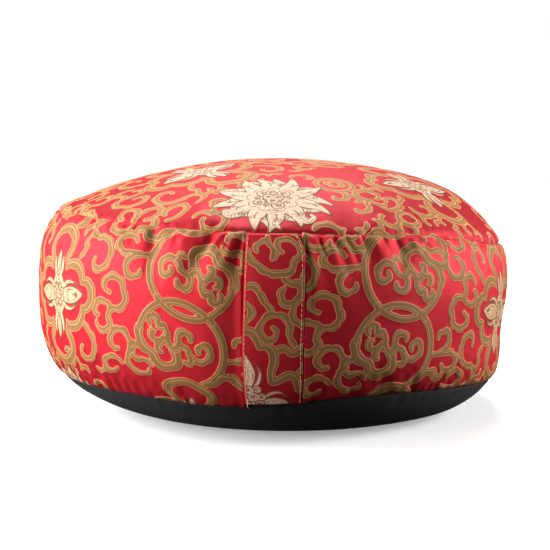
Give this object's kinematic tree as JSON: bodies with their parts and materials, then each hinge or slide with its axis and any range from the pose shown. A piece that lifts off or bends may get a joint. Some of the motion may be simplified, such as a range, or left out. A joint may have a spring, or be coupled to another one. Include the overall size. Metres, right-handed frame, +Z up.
{
  "type": "meditation cushion",
  "caption": "Round filled floor cushion with a crowned top panel, a full side band, a flat-footed base panel and a folded strip sewn over the band at the front.",
  "frame": {"origin": "middle of the cushion's outline seen from above, at the height of its flat foot", "axes": "+Z up through the crown, -Y towards the sewn strip at the front, +X to the right as seen from the front"},
  "size_m": [0.341, 0.343, 0.179],
  "materials": {
    "black_cotton": "matt plain weave",
    "brocade_band": "red satin with woven gold and cream figures",
    "brocade_top": "red satin with woven gold and cream figures",
    "brocade_strip": "red satin with woven gold and cream figures"
  },
  "bodies": {
    "root": {"base_panel": "black_cotton", "side_band": "brocade_band", "top_panel": "brocade_top", "front_strip": "brocade_strip"}
  },
  "joints": []
}
